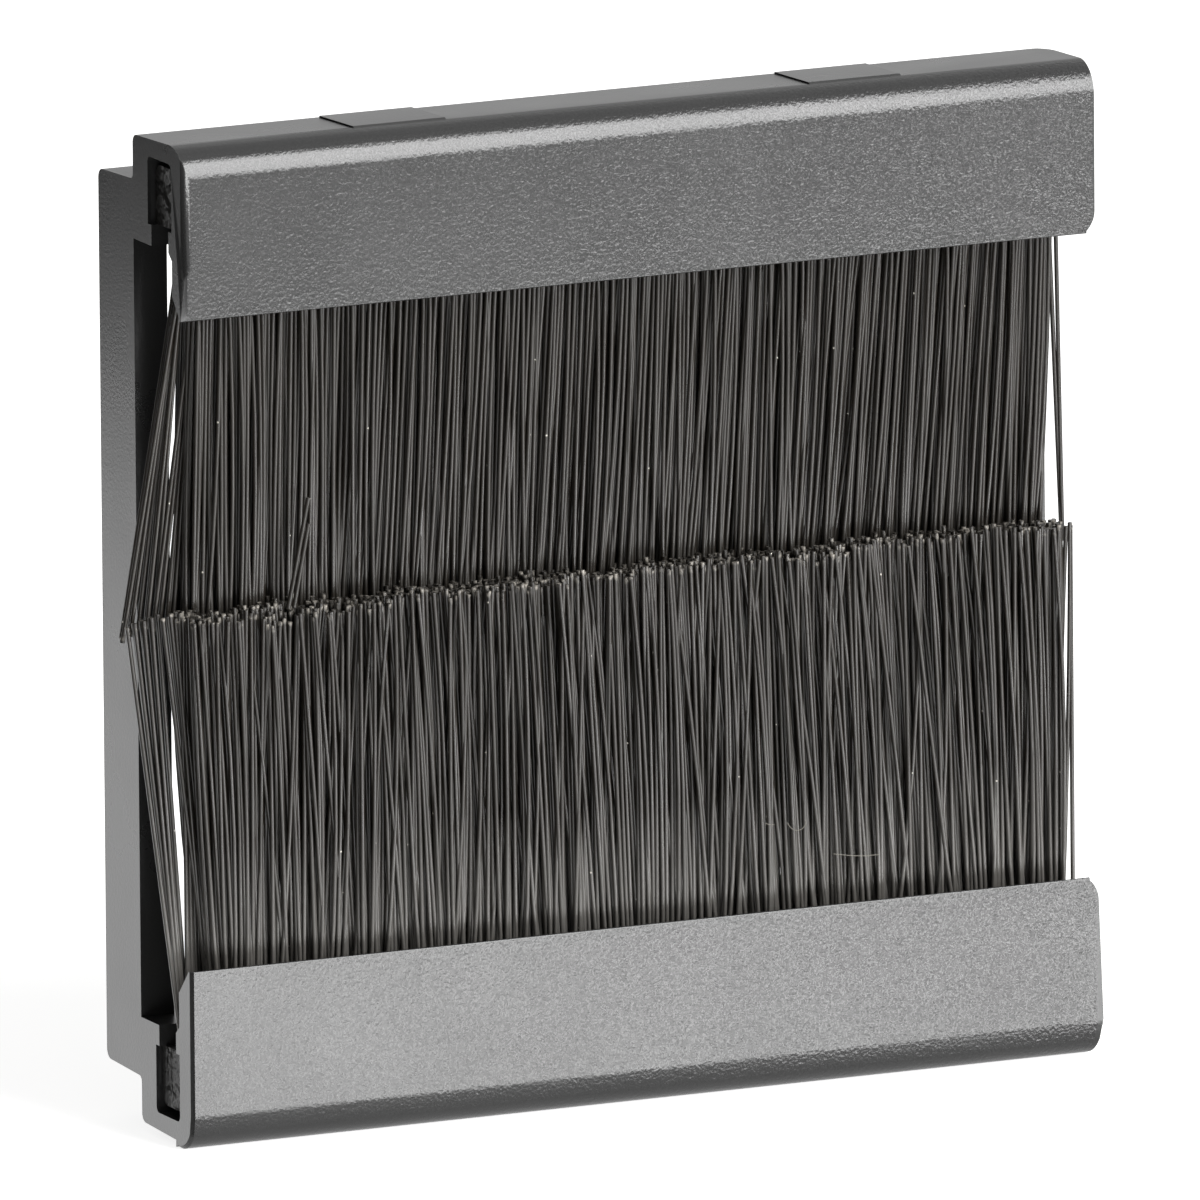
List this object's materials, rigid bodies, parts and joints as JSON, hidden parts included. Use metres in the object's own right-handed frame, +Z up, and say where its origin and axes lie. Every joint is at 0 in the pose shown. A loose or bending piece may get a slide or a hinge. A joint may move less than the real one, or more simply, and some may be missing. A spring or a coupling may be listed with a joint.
{
  "type": "brush cable grommet",
  "caption": "Square black plastic wiring-plate insert with brush strips in T-slot channels above and below a cable window, their nylon filaments meeting across the middle.",
  "frame": {"origin": "middle of the plane of the two rear-facing seat ledges, at the centre of the plate aperture", "axes": "+X along the brush strips to the right seen from the front, +Y from the front to the rear, +Z up"},
  "size_m": [0.0512, 0.0101, 0.0505],
  "materials": {
    "frame_plastic": "black moulded ABS, spark-eroded grain on the front walls",
    "bar_plastic": "black extruded polypropylene",
    "filament": "black nylon monofilament, satin"
  },
  "bodies": {
    "root": {"frame": "frame_plastic", "upper_brush_bar": "bar_plastic", "upper_bristles": "filament", "lower_brush_bar": "bar_plastic", "lower_bristles": "filament"}
  },
  "joints": []
}
